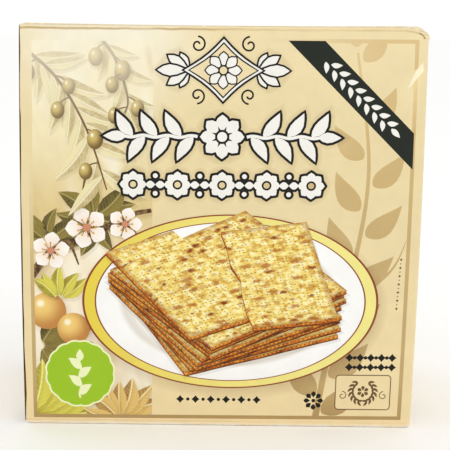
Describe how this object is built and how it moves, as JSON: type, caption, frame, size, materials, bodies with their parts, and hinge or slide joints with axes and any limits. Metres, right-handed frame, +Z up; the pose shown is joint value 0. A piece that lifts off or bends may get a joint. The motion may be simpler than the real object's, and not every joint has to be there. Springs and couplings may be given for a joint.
{
  "type": "shut matzo carton",
  "caption": "Shut upright cardboard carton for flat unleavened bread, with rounded folds, bowed walls, glued end flaps, a back seam and a crushed top corner.",
  "frame": {"origin": "middle of the base, on the surface that the carton stands on", "axes": "+Z up along the standing height, -Y out of the front panel, +X to the right of someone facing the front"},
  "size_m": [0.2012, 0.1126, 0.203],
  "materials": {
    "printed_board": "satin print on cream folding boxboard"
  },
  "bodies": {
    "root": {"carton": "printed_board"}
  },
  "joints": []
}
